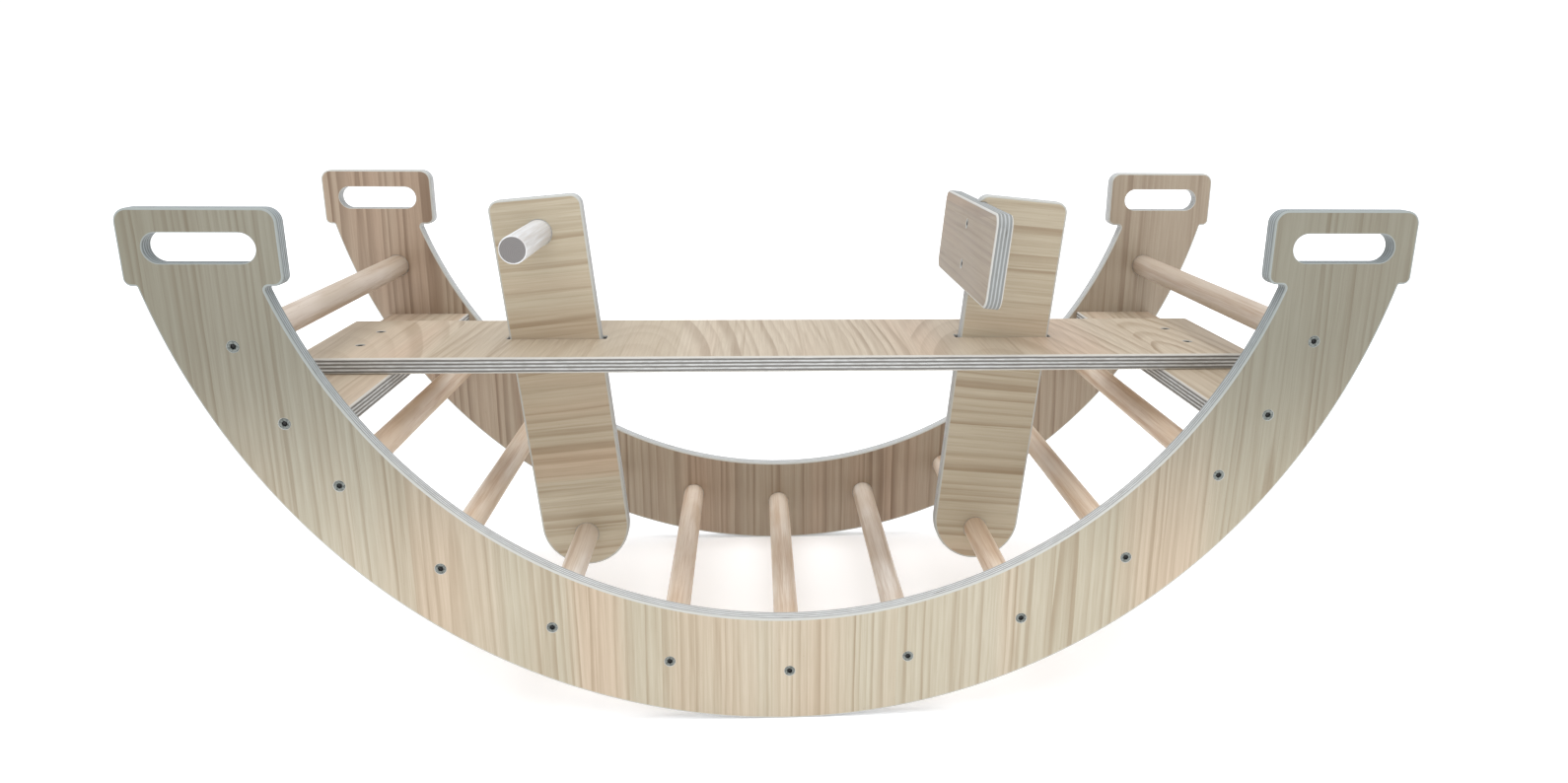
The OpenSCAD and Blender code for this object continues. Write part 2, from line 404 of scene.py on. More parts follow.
class Paint(Wires):
    """A material in the making, with its Principled shader."""

    def __init__(self, name: str) -> None:
        """Starts a material by name, with the shader wired to its output."""
        self.material = bpy.data.materials.new(name)
        self.material.use_nodes = True
        super().__init__(self.material.node_tree)
        self.shader = self.node("ShaderNodeBsdfPrincipled")
        self.node("ShaderNodeOutputMaterial", {"Surface": Signal(self, self.shader.outputs[0])})

    def world(self) -> Signal:
        """Returns the place in the row frame."""
        return self.signal("ShaderNodeTexCoord", output="Object")

    def board(self) -> Signal:
        """Returns the place on the board's own map."""
        return self.signal("ShaderNodeUVMap", uv_map=BOARD_MAP)

    def finish(self, relief: tuple[Signal, float, float] | None = None, **inputs: object) -> Material:
        """Feeds the shader.

        Args:
            relief: a bump's height, strength and distance.
            **inputs: the shader's inputs, with underscores for spaces.

        Returns:
            The finished material.
        """
        if relief:
            bump = dict(zip(("Height", "Strength", "Distance"), relief))
            inputs["Normal"] = self.signal("ShaderNodeBump", bump)
        self.fill(self.shader, **inputs)
        return self.material


@dataclass(frozen=True)
class Veneer:
    """Sealed pine veneer on the face of a plywood board.

    The shade darkens the outer face with height. It stands for light that falls
    off upwards and is no trait of the timber.
    """

    name: str
    pale: Colour
    dull: Colour
    late: Colour
    blush: Colour
    seed: float = 0.0
    leaf_width: float = 0.15
    ring_gap: float = 0.008
    arch: float = 0.2
    drift: float = 0.012
    late_share: float = 0.7
    blush_share: float = 0.6
    streak_share: float = 0.45
    roughness: float = 0.55
    shade: Colour | None = None
    shade_from: float = 0.0
    shade_to: float = 1.0
    shade_face: float = 0.0

    def build(self, groups: TimberGroups) -> Material:
        """Makes the material.

        Args:
            groups: the shared node groups.

        Returns:
            The finished material.
        """
        paint = Paint(self.name)
        world = paint.world()
        figure = paint.group(groups.figure, Place=paint.board(), Seed=self.seed, Leaf_Width=self.leaf_width,
                             Ring_Gap=self.ring_gap, Arch=self.arch, Drift=self.drift)
        marks = paint.group(groups.handling, Place=world)
        late, fibre, cloud = figure["Late"], figure["Fibre"], marks["Cloud"]
        blush = figure["Blush"] * self.blush_share
        if self.shade:
            _, y, height = paint.unpack(world)
            outside = paint.remap(y, self.shade_face + 1.0 * MM, self.shade_face + 2.0 * MM, 1.0, 0.0)
            share = paint.remap(height, self.shade_from, self.shade_to) * outside
            # The blush fades where the painted shade falls, so the shaded heads turn grey with it.
            blush = blush * paint.remap(share, 0.0, 1.0, 1.0, 0.1)
        colour = paint.coats(
            paint.mix(figure["Tone"], self.pale, self.dull), (blush, self.blush), (late * self.late_share, self.late),
            (figure["Streak"] * self.streak_share, self.late), (paint.remap(fibre, 0.3, 0.72, 0.0, 0.3), self.late),
            (cloud * 0.12, self.dull), (marks["Speck"] * 0.25, self.late))
        if self.shade:
            colour = paint.mix(share, colour, self.shade, blend="MULTIPLY")
        rough = late * -0.08 + (cloud * 0.07 + self.roughness)
        return paint.finish((fibre * 0.7 + late * 0.5, 0.35, 0.12 * MM), Base_Color=colour, Roughness=rough,
                            Coat_Weight=0.12, Coat_Roughness=0.42)


@dataclass(frozen=True)
class SawnPly:
    """Sanded plywood edge with its plies, glue lines and small gaps.

    The shade is painted shade that darkens it with height, like the veneer's.
    """

    name: str
    face: Colour
    light: Colour
    cross: Colour
    glue: Colour
    gap: Colour
    thickness: float
    plies: float = 9.0
    seed: float = 0.0
    shade: Colour | None = None
    shade_from: float = 0.22
    shade_to: float = 0.42

    def build(self, groups: TimberGroups) -> Material:
        """Makes the material.

        Args:
            groups: the shared node groups.

        Returns:
            The finished material.
        """
        paint = Paint(self.name)
        place = paint.board()
        layers = paint.group(groups.layers, Place=place, Thickness=self.thickness, Plies=self.plies, Seed=self.seed)
        half = self.thickness / 2
        skin = paint.remap(paint.math("ABSOLUTE", paint.unpack(place)[1] - half), half - 1.7 * MM, half - 1.3 * MM)
        colour = paint.coats(
            paint.mix(paint.remap(layers["Streak"], 0.35, 0.75, 0.0, 0.4), self.light, self.cross),
            (layers["Cross"], self.cross), (layers["Glue"] * 0.9, self.glue), (layers["Gap"], self.gap),
            (skin, self.face))
        if self.shade:
            share = paint.remap(paint.unpack(paint.world())[2], self.shade_from, self.shade_to)
            colour = paint.mix(share, colour, self.shade, blend="MULTIPLY")
        height = layers["Streak"] * 0.4 - (layers["Gap"] + layers["Glue"] * 0.3)
        return paint.finish((height, 0.5, 0.25 * MM), Base_Color=colour, Roughness=0.62)


@dataclass(frozen=True)
class Dowel:
    """Turned and sealed hardwood."""

    name: str
    middle: Colour
    pale: Colour
    dark: Colour
    seed: float = 0.0
    roughness: float = 0.48

    def build(self, groups: TimberGroups) -> Material:
        """Makes the material.

        Args:
            groups: the shared node groups.

        Returns:
            The finished material.
        """
        paint = Paint(self.name)
        grain = paint.group(groups.grain, Place=paint.world(), Seed=self.seed)
        streak = grain["Streak"]
        colour = paint.coats(
            paint.mix(paint.remap(grain["Patch"], 0.42, 0.66), self.middle, self.pale),
            (paint.remap(streak, 0.42, 0.68, 0.0, 0.75), self.dark), (grain["Fleck"] * 0.35, self.dark))
        rough = paint.remap(streak, 0.3, 0.7, self.roughness - 0.06, self.roughness + 0.08)
        return paint.finish((streak, 0.3, 0.1 * MM), Base_Color=colour, Roughness=rough, Coat_Weight=0.15,
                            Coat_Roughness=0.35)


@dataclass(frozen=True)
class EndGrain:
    """Cross-cut end of a dowel, with rings about a heart that is off to one side."""

    name: str
    light: Colour
    dark: Colour
    heart: Point
    ring_gap: float = 1.7 * MM

    def build(self) -> Material:
        """Makes the material and returns it."""
        paint = Paint(self.name)
        world = paint.world()
        x, _, z = paint.unpack(world)
        x_off, z_off = x - self.heart[0], z - self.heart[1]
        radius = paint.math("SQRT", x_off * x_off + z_off * z_off)
        wobble = paint.noise(world, scale=90.0, seed=1.0)
        rings = paint.math("FRACT", radius / self.ring_gap + wobble * 1.5)
        pores = paint.noise(world, scale=1500.0, detail=1.0, seed=4.0)
        colour = paint.coats(paint.mix(paint.remap(rings, 0.3, 0.95, 0.0, 0.7), self.light, self.dark),
                             (paint.remap(pores, 0.55, 0.7, 0.0, 0.6), self.dark))
        return paint.finish((pores, 0.5, 0.15 * MM), Base_Color=colour, Roughness=0.7)


@dataclass(frozen=True)
class ZincPlate:
    """Bright zinc on steel, with painted shade down in the drive recess: darker and less metallic there."""

    name: str
    bright: Colour
    dull: Colour
    pit: Colour

    def build(self) -> Material:
        """Makes the material and returns it."""
        paint = Paint(self.name)
        pit = paint.signal("ShaderNodeAttribute", output="Fac", attribute_name=RECESS_SHADE)
        cloud = paint.noise(paint.world(), scale=500.0, detail=3.0, seed=3.0)
        colour = paint.mix(paint.remap(cloud, 0.35, 0.7), self.bright, self.dull)
        return paint.finish(Base_Color=paint.mix(pit, colour, self.pit),
                            Metallic=paint.remap(pit, 0.0, 1.0, 0.8, 0.2),
                            Roughness=paint.remap(cloud, 0.3, 0.7, 0.28, 0.46))


# ------------------------------------------------------------------- boards

SMOOTH_COS = math.cos(math.radians(40.0))
LONG_SHARE = 3.0
CAP_WEIGHT = 1.0e6
MERGE_GAP = 1.0e-7
INSIDE_LOOPS = 1
VENEER_SLOT = 0
EDGE_SLOT = 1
BACK_SHIFT = 3.0


class Grain(Enum):
    """Which way a board's face grain runs."""

    ALONG_S = "s"
    ALONG_T = "t"


@dataclass(frozen=True)
class Placing:
    """Where a board lies: a point on its face and the two directions along it."""

    origin: Vector
    s_axis: Vector
    t_axis: Vector

    @property
    def out(self) -> Vector:
        """The direction that the face looks in."""
        return self.s_axis.cross(self.t_axis)

    def world(self, s: float, t: float, depth: float = 0.0) -> Vector:
        """Turns a place on the board into the row frame.

        Args:
            s: distance along the first direction.
            t: distance along the second direction.
            depth: distance below the face.

        Returns:
            The point in the row frame.
        """
        return self.origin + self.s_axis * s + self.t_axis * t - self.out * depth

    def matrix(self) -> np.ndarray:
        """Returns the rows that turn (s, t, depth) into a direction in the row frame."""
        return np.array([self.s_axis, self.t_axis, -self.out])


def blend_normals(before: np.ndarray, after: np.ndarray, before_length: float, after_length: float,
                  ) -> tuple[np.ndarray, np.ndarray]:
    """Finds the shading normals on both sides of a corner between two runs.

    A gentle corner is shaded smooth, unless one run is much longer: then the long
    one stays flat. A sharp corner keeps both normals.

    Args:
        before: normal of the run that ends here.
        after: normal of the run that starts here.
        before_length: length of the first run.
        after_length: length of the second run.

    Returns:
        The normal for the end of the first run and for the start of the second.
    """
    if float(before @ after) < SMOOTH_COS:
        return before, after
    if before_length > LONG_SHARE * after_length:
        return before, before
    if after_length > LONG_SHARE * before_length:
        return after, after
    middle = before + after
    middle /= np.linalg.norm(middle)
    return middle, middle


@dataclass
class Contour:
    """One closed edge of a board and the profile that its wall follows.

    The outer edge runs anticlockwise seen from the face and a hole's runs
    clockwise. A station is (distance out of the material, depth below the face).
    A point's share says how much of the rounding it takes.
    """

    points: np.ndarray
    stations: list[Point]
    shares: np.ndarray | None = None

    def __post_init__(self) -> None:
        """Works out the runs between the points and the normals at their ends."""
        ahead = np.roll(self.points, -1, axis=0) - self.points
        self.lengths = np.linalg.norm(ahead, axis=1)
        self.normals = np.stack([ahead[:, 1], -ahead[:, 0]], axis=1) / self.lengths[:, None]
        count = len(self.points)
        self.mitres = np.zeros((count, 2))
        self.run_normals = np.zeros((count, 2, 2))
        for place in range(count):
            last = place - 1
            before, after = self.normals[last], self.normals[place]
            self.mitres[place] = (before + after) / (1.0 + float(before @ after))
            ends, starts = blend_normals(before, after, self.lengths[last], self.lengths[place])
            self.run_normals[last, 1] = ends
            self.run_normals[place, 0] = starts
        if self.shares is not None:
            self.mitres *= self.shares[:, None]
        self.travel = np.concatenate([[0.0], np.cumsum(self.lengths)])
        self.step_normals = self.profile_normals()

    def profile_normals(self) -> np.ndarray:
        """Returns, for each step of the profile, the (out, depth) normals at its start and end."""
        profile = np.array(self.stations)
        ahead = np.diff(profile, axis=0)
        lengths = np.linalg.norm(ahead, axis=1)
        flat = np.stack([ahead[:, 1], -ahead[:, 0]], axis=1) / lengths[:, None]
        normals = np.zeros((len(flat), 2, 2))
        normals[0, 0] = blend_normals(np.array([0.0, -1.0]), flat[0], CAP_WEIGHT, lengths[0])[1]
        normals[-1, 1] = blend_normals(flat[-1], np.array([0.0, 1.0]), lengths[-1], CAP_WEIGHT)[0]
        for place in range(1, len(flat)):
            ends, starts = blend_normals(flat[place - 1], flat[place], lengths[place - 1], lengths[place])
            normals[place - 1, 1] = ends
            normals[place, 0] = starts
        return normals

    def ring(self, station: int) -> np.ndarray:
        """Returns the contour's points at one station, as (s, t)."""
        return self.points + self.mitres * self.stations[station][0]


def eased_profile(thickness: float, radius: float, steps: int = 5) -> list[Point]:
    """Makes the profile of a sanded board edge, rounded at the face and at the back.

    Args:
        thickness: the board's thickness.
        radius: the rounding's radius.
        steps: its number of flats.

    Returns:
        The profile's stations.
    """
    turns = [math.pi / 2 * step / steps for step in range(steps + 1)]
    face = [(radius * (math.sin(turn) - 1.0), radius * (1.0 - math.cos(turn))) for turn in turns]
    back = [(out, thickness - depth) for out, depth in reversed(face)]
    return face + back


def bore(centre: Point, steps: list[Point], sides: int = 40) -> Contour:
    """Makes a round hole whose radius may change with depth.

    Args:
        centre: the hole's centre on the board.
        steps: its (radius, depth) pairs from the face to the back.
        sides: points round it.

    Returns:
        The hole's contour.
    """
    radius = steps[0][0]
    turns = -np.arange(sides) * FULL_TURN / sides
    points = np.array(centre) + radius * np.stack([np.cos(turns), np.sin(turns)], axis=1)
    mitre = 1.0 / math.cos(math.pi / sides) ** 2
    return Contour(points, [((radius - wide) / mitre, depth) for wide, depth in steps])


def arc(centre: Point, radius: float, start: float, end: float, steps: int) -> list[Point]:
    """Samples an arc.

    Args:
        centre: its centre.
        radius: its radius.
        start: its first angle in radians.
        end: its last angle in radians.
        steps: its number of flats.

    Returns:
        The points, both ends included.
    """
    turns = [start + (end - start) * step / steps for step in range(steps + 1)]
    return [(centre[0] + radius * math.cos(turn), centre[1] + radius * math.sin(turn)) for turn in turns]


def eased_corner(before: Point, corner: Point, after: Point,
                 radius: float, steps: int = 8) -> list[Point]:
    """Rounds a corner between two straight runs.

    Args:
        before: a point on the run that comes in.
        corner: the sharp corner.
        after: a point on the run that goes out.
        radius: the rounding's radius.
        steps: its number of flats.

    Returns:
        The points that replace the corner.
    """
    here = np.array(corner)
    back = np.array(before) - here
    ahead = np.array(after) - here
    back /= np.linalg.norm(back)
    ahead /= np.linalg.norm(ahead)
    half = math.acos(max(-1.0, min(1.0, float(back @ ahead)))) / 2
    middle = (back + ahead) / np.linalg.norm(back + ahead)
    centre = here + middle * radius / math.sin(half)
    start = here + back * radius / math.tan(half) - centre
    end = here + ahead * radius / math.tan(half) - centre
    first = math.atan2(start[1], start[0])
    sweep = math.remainder(math.atan2(end[1], end[0]) - first, FULL_TURN)
    return arc((centre[0], centre[1]), radius, first, first + sweep, steps)


def eased_outline(corners: list[tuple[float, float, float]]) -> np.ndarray:
    """Rounds the corners of an outline.

    Args:
        corners: (x, y, radius) in order; a radius of nought keeps the point as it is.

    Returns:
        The outline's points.
    """
    points: list[Point] = []
    for place, (x, y, radius) in enumerate(corners):
        if radius <= 0.0:
            points.append((x, y))
            continue
        before = corners[place - 1][:2]
        after = corners[(place + 1) % len(corners)][:2]
        points.extend(eased_corner(before, (x, y), after, radius))
    return np.array(points)


def rectangle(width: float, height: float, radius: float) -> np.ndarray:
    """Makes a rectangle about the origin with rounded corners.

    Args:
        width: its size along the first direction.
        height: its size along the second direction.
        radius: its corners' radius.

    Returns:
        Its outline, anticlockwise.
    """
    turns = ((-1, -1), (1, -1), (1, 1), (-1, 1))
    return eased_outline([(x * width / 2, y * height / 2, radius) for x, y in turns])


@dataclass
class Board:
    """A flat board with shaped edges and holes."""

    name: str
    placing: Placing
    thickness: float
    contours: list[Contour]
    grain: Grain
    shift: tuple[float, float] = (0.0, 0.0)

    def build(self, veneer: Material, edge: Material) -> Object:
        """Builds the board with its own loop normals and board map.

        Args:
            veneer: finish of the two faces.
            edge: finish of the sawn edges.

        Returns:
            The board.
        """
        self.vertices: list[np.ndarray] = []
        self.faces: list[tuple[int, ...]] = []
        self.slots: list[int] = []
        self.normals: list[np.ndarray] = []
        self.places: list[Point] = []
        starts = [self.add_wall(contour) for contour in self.contours]
        self.add_cap(starts, front=True)
        self.add_cap(starts, front=False)
        matrix = self.placing.matrix()
        mesh = bpy.data.meshes.new(self.name)
        vertices = np.array(self.placing.origin) + np.concatenate(self.vertices) @ matrix
        mesh.from_pydata(vertices.tolist(), [], self.faces)
        mesh.materials.append(veneer)
        mesh.materials.append(edge)
        mesh.polygons.foreach_set("material_index", self.slots)
        mesh.polygons.foreach_set("use_smooth", [True] * len(self.faces))
        board_map = mesh.uv_layers.new(name=BOARD_MAP)
        board_map.uv.foreach_set("vector", np.array(self.places, dtype=np.float32).ravel())
        mesh.normals_split_custom_set((np.array(self.normals) @ matrix).tolist())
        return place_piece(mesh)

    def add_wall(self, contour: Contour) -> int:
        """Adds the wall that a contour's profile sweeps and returns its first vertex."""
        first = sum(len(chunk) for chunk in self.vertices)
        count, levels = len(contour.points), len(contour.stations)
        for level in range(levels):
            depth = np.full((count, 1), contour.stations[level][1])
            self.vertices.append(np.hstack([contour.ring(level), depth]))
        for level in range(levels - 1):
            for place in range(count):
                following = (place + 1) % count
                corners = ((place, level, 0, 0), (place, level + 1, 0, 1),
                           (following, level + 1, 1, 1), (following, level, 1, 0))
                self.faces.append(tuple(first + row * count + column for column, row, _, _ in corners))
                self.slots.append(EDGE_SLOT)
                for column, row, at_end, below in corners:
                    flat = contour.run_normals[place, at_end]
                    out, sunk = contour.step_normals[level, below]
                    self.normals.append(np.array([flat[0] * out, flat[1] * out, sunk]))
                    self.places.append((contour.travel[place + at_end], contour.stations[row][1]))
        return first

    def add_cap(self, starts: list[int], front: bool) -> None:
        """Fills a face between the outer edge and the holes.

        Args:
            starts: each contour's first vertex.
            front: whether this is the face or the back.
        """
        flat: list[Vector] = []
        index: list[int] = []
        loops: list[list[int]] = []
        for contour, start in zip(self.contours, starts):
            level = 0 if front else len(contour.stations) - 1
            ring = contour.ring(level)
            loop = list(range(len(flat), len(flat) + len(ring)))
            loops.append(loop if contour is self.contours[0] else loop[::-1])
            flat.extend(Vector(point) for point in ring)
            index.extend(start + level * len(ring) + place for place in range(len(ring)))
        _, _, faces, sources, _, origins = delaunay_2d_cdt(flat, [], loops, INSIDE_LOOPS, MERGE_GAP)
        for face, origin in zip(faces, origins):
            if list(origin) != [0]:
                continue
            corners = [sources[corner][0] for corner in face]
            if not front:
                corners.reverse()
            self.faces.append(tuple(index[corner] for corner in corners))
            self.slots.append(VENEER_SLOT)
            for corner in corners:
                s, t = flat[corner]
                along, across = (s, t) if self.grain is Grain.ALONG_S else (t, s)
                across += self.shift[1] + (0.0 if front else BACK_SHIFT)
                self.places.append((along + self.shift[0], across))
                self.normals.append(np.array([0.0, 0.0, -1.0 if front else 1.0]))


def place_piece(data: bpy.types.ID) -> Object:
    """Links a mesh, a light or a camera as an object at the origin, under its own name.

    Args:
        data: what the object shows.

    Returns:
        The object.
    """
    piece = bpy.data.objects.new(data.name, data)
    bpy.context.scene.collection.objects.link(piece)
    return piece


# ---------------------------------------------------------- repeated pieces


def set_inputs(modifier: NodesModifier, values: dict[str, object]) -> None:
    """Sets a Geometry Nodes modifier's inputs by name, through their identifiers.

    Args:
        modifier: the modifier.
        values: input names and values.
    """
    for item in modifier.node_group.interface.items_tree:
        if item.in_out == "INPUT" and item.name in values:
            modifier[item.identifier] = values[item.name]


def grow(name: str, tree: NodeTree, values: dict[str, object], seeds: Mesh) -> Object:
    """Runs a Geometry Nodes tree once and keeps its result as a plain mesh.

    Args:
        name: the piece's name.
        tree: the tree.
        values: the tree's inputs.
        seeds: the mesh that the tree starts from.

    Returns:
        The piece, with no modifier left.
    """
    seeds.name = f"{name}.seeds"
    carrier = place_piece(seeds)
    modifier = carrier.modifiers.new("grow", "NODES")
    modifier.node_group = tree
    set_inputs(modifier, values)
    bpy.context.view_layer.update()
    evaluated = carrier.evaluated_get(bpy.context.evaluated_depsgraph_get())
    mesh = bpy.data.meshes.new_from_object(evaluated)
    carrier.modifiers.remove(modifier)
    bpy.data.objects.remove(carrier)
    mesh.name = name
    return place_piece(mesh)


def rod_tree() -> NodeTree:
    """Builds the tree that turns a straight dowel with eased ends.

    Returns:
        The tree.
    """
    wires, given, out = new_group(
        "turned rod",
        {"Geometry": ("Geometry", None), "Start": ("Vector", None), "End": ("Vector", None),
         "Radius": ("Float", 0.0135), "Ease": ("Float", 0.002), "Steps": ("Int", 6), "Sides": ("Int", 56),
         "Wood": ("Material", None), "End Wood": ("Material", None)},
        {"Geometry": "Geometry"}, "GeometryNodeTree")
    start, end, steps, ease = (given[name] for name in ("Start", "End", "Steps", "Ease"))
    points = steps * 2.0 + 2.0
    line = wires.signal("GeometryNodeCurvePrimitiveLine", {"Start": start, "End": end})
    split = wires.signal("GeometryNodeResampleCurve", {"Curve": line, "Count": points})
    order = wires.signal("GeometryNodeInputIndex")
    turn = wires.math("MINIMUM", order, points - 1.0 - order) / steps * (math.pi / 2)
    inward = ease * (1.0 - wires.math("COSINE", turn))
    reach = given["Radius"] - ease * (1.0 - wires.math("SINE", turn))
    whole = wires.vector("SUBTRACT", end, start)
    share = inward / wires.vector("LENGTH", whole, output="Value")
    at_far = wires.math("GREATER_THAN", order, steps)
    place = share * (1.0 - at_far * 2.0) + at_far
    step = wires.vector("MULTIPLY_ADD", whole, wires.pack(place, place, place), start)
    moved = wires.signal("GeometryNodeSetPosition", {"Geometry": split, "Position": step})
    circle = wires.signal("GeometryNodeCurvePrimitiveCircle", {"Resolution": given["Sides"], "Radius": 1.0})
    skin = wires.signal("GeometryNodeCurveToMesh",
                        {"Curve": moved, "Profile Curve": circle, "Scale": reach, "Fill Caps": True})
    dot = wires.vector("DOT_PRODUCT", wires.signal("GeometryNodeInputNormal"), wires.vector("NORMALIZE", whole),
                       output="Value")
    is_cap = wires.signal("FunctionNodeCompare", {0: wires.math("ABSOLUTE", dot), 1: 0.999}, data_type="FLOAT",
                          operation="GREATER_THAN")
    smooth = wires.signal("GeometryNodeSetShadeSmooth", {"Geometry": skin, "Shade Smooth": True})
    flat = wires.signal("GeometryNodeSetShadeSmooth",
                        {"Geometry": smooth, "Selection": is_cap, "Shade Smooth": False})
    real = wires.signal("GeometryNodeRealizeInstances", {0: flat})
    wood = wires.signal("GeometryNodeSetMaterial", {"Geometry": real, "Material": given["Wood"]})
    cap = wires.signal("GeometryNodeSetMaterial",
                       {"Geometry": wood, "Selection": is_cap, "Material": given["End Wood"]})
    wires.fill(out, Geometry=cap)
    return wires.tree


def screw_tree() -> NodeTree:
    """Builds the tree that sets one screw on each seed point, each turned a little differently.

    Returns:
        The tree.
    """
    wires, given, out = new_group(
        "screw set",
        {"Geometry": ("Geometry", None), "Screw": ("Object", None), "Seed": ("Int", 1),
         "Finish": ("Material", None)},
        {"Geometry": "Geometry"}, "GeometryNodeTree")
    shape = wires.signal("GeometryNodeObjectInfo", {"Object": given["Screw"]}, "Geometry",
                         transform_space="ORIGINAL")
    aim = wires.signal("GeometryNodeInputNamedAttribute", {"Name": "aim"}, data_type="FLOAT_VECTOR")
    point_out = wires.signal("FunctionNodeAlignRotationToVector", {"Vector": aim}, axis="Z")
    least, most, number = 2, 3, 1
    chance = wires.signal("FunctionNodeRandomValue", {least: 0.0, most: FULL_TURN / 6, "Seed": given["Seed"]}, number,
                          data_type="FLOAT")
    spin = wires.signal("FunctionNodeAxisAngleToRotation", {"Axis": (0.0, 0.0, 1.0), "Angle": chance})
    turned = wires.signal("FunctionNodeRotateRotation", {"Rotation": point_out, "Rotate By": spin},
                          rotation_space="LOCAL")
    placed = wires.signal("GeometryNodeInstanceOnPoints",
                          {"Points": given["Geometry"], "Instance": shape, "Rotation": turned})
    real = wires.signal("GeometryNodeRealizeInstances", {0: placed})
    finish = wires.signal("GeometryNodeSetMaterial", {"Geometry": real, "Material": given["Finish"]})
    wires.fill(out, Geometry=finish)
    return wires.tree


# -------------------------------------------------------- sub-assemblies

BODY = "root"


def declare(piece: Object, node: str) -> None:
    """Tells the frame what a piece rides on and which CAD node it stands for.

    Args:
        piece: the finished piece.
        node: the CAD node that it replaces.
    """
    low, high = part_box(node)
    piece.name = piece.data.name = f"{node}.made"
    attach(piece, BODY)
    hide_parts(node)
    corners = np.array([vertex.co for vertex in piece.data.vertices])
    off = max(np.abs(corners.min(0) - np.array(low)).max(), np.abs(corners.max(0) - np.array(high)).max())
    LOG.info("%s: %d faces, %.2f mm from its node's box", piece.name, len(piece.data.polygons), off / MM)


@dataclass
class Finishes:
    """Every material of the rocker, made once."""

    front_veneer: Material
    rear_veneer: Material
    front_edge: Material
    panel_edge: Material
    seat_veneer: Material
    seat_edge: Material
    post_veneer: Material
    plate_edge: Material
    plate_veneer: Material
    rung_wood: list[Material]
    bar_wood: Material
    bar_end: Material
    zinc: Material


@dataclass(frozen=True)
class RungCircle:
    """The circle round the rocking centre that the rungs, ledges and posts are set out on."""

    rocker_radius: float = 585.3 * MM
    inset: float = 53.5 * MM
    step: float = 12.9
    each_side: int = 4
    top_angle: float = 68.1
    ledge_angle: float = 59.5

    def at(self, degrees: float) -> Point:
        """Returns (x, z) at an angle from straight down."""
        turn = math.radians(degrees)
        radius = self.rocker_radius - self.inset
        return radius * math.sin(turn), self.rocker_radius - radius * math.cos(turn)

    def rungs(self) -> list[Point]:
        """Returns (x, z) of every rung from left to right."""
        lower = [place * self.step for place in range(-self.each_side, self.each_side + 1)]
        return [self.at(angle) for angle in (-self.top_angle, *lower, self.top_angle)]

    def ledges(self) -> list[Point]:
        """Returns (x, z) of the two ledges."""
        return [self.at(-self.ledge_angle), self.at(self.ledge_angle)]


CIRCLE = RungCircle()
PLY = 17.0 * MM
HALF_WIDTH = 254.0 * MM
PILOT = 3.6 * MM
HEAD_COUNTERSINK = [(5.7 * MM, 0.0), (5.25 * MM, 0.4 * MM), (5.15 * MM, 1.1 * MM), (PILOT, 3.6 * MM)]
SCREW_HOLE = [*HEAD_COUNTERSINK, (PILOT, PLY)]
ALONG = Vector((1.0, 0.0, 0.0))
ACROSS = Vector((0.0, 1.0, 0.0))
UP = Vector((0.0, 0.0, 1.0))


